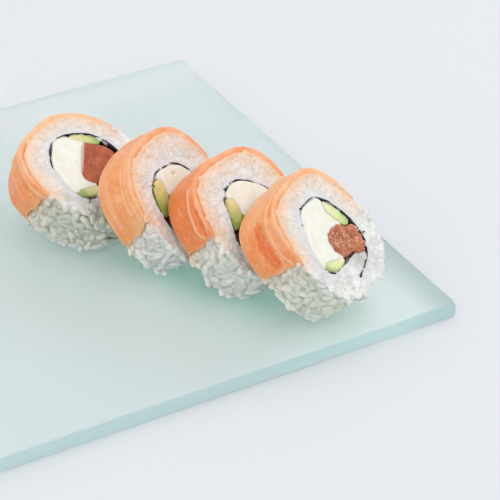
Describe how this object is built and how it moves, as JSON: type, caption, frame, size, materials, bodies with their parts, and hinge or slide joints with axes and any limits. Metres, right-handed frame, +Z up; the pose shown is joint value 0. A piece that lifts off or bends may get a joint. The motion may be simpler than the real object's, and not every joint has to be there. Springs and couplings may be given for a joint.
{
  "type": "maki sushi roll on a plate",
  "caption": "Salmon-topped inside-out maki slices leaning in a row on a square frosted glass plate, with cream cheese, avocado and salmon inside the nori.",
  "frame": {"origin": "centre of the plate's underside, on the table", "axes": "+Z up, +X along the plate's front edge to the right, +Y to the back of the plate"},
  "size_m": [0.2, 0.2, 0.052],
  "materials": {
    "frosted_glass": "pale aqua float glass, finely frosted on top, ground teal edge",
    "raw_salmon": "moist translucent orange fish with fine pale fat lines",
    "sushi_rice": "sticky translucent white grains, tinted pink beside the salmon",
    "nori": "thin black-green pressed seaweed, damp",
    "cream_cheese": "smooth ivory cream cheese with faint knife streaks",
    "avocado": "soft avocado flesh, yellow running to green at the skin side",
    "cured_salmon": "reddish-brown flaked salmon with pale threads"
  },
  "bodies": {
    "root": {"plate": "frosted_glass", "maki_1_salmon_wrap": "raw_salmon", "maki_1_rice": "sushi_rice", "maki_1_nori": "nori", "maki_1_cream_cheese": "cream_cheese", "maki_1_avocado_upper": "avocado", "maki_1_avocado_lower": "avocado", "maki_1_salmon_core": "cured_salmon", "maki_2_salmon_wrap": "raw_salmon", "maki_2_rice": "sushi_rice", "maki_2_nori": "nori", "maki_2_cream_cheese": "cream_cheese", "maki_2_avocado_upper": "avocado", "maki_2_avocado_lower": "avocado", "maki_2_salmon_core": "cured_salmon", "maki_3_salmon_wrap": "raw_salmon", "maki_3_rice": "sushi_rice", "maki_3_nori": "nori", "maki_3_cream_cheese": "cream_cheese", "maki_3_avocado_upper": "avocado", "maki_3_avocado_lower": "avocado", "maki_3_salmon_core": "cured_salmon", "maki_4_salmon_wrap": "raw_salmon", "maki_4_rice": "sushi_rice", "maki_4_nori": "nori", "maki_4_cream_cheese": "cream_cheese", "maki_4_avocado_upper": "avocado", "maki_4_avocado_lower": "avocado", "maki_4_salmon_core": "cured_salmon"}
  },
  "joints": []
}
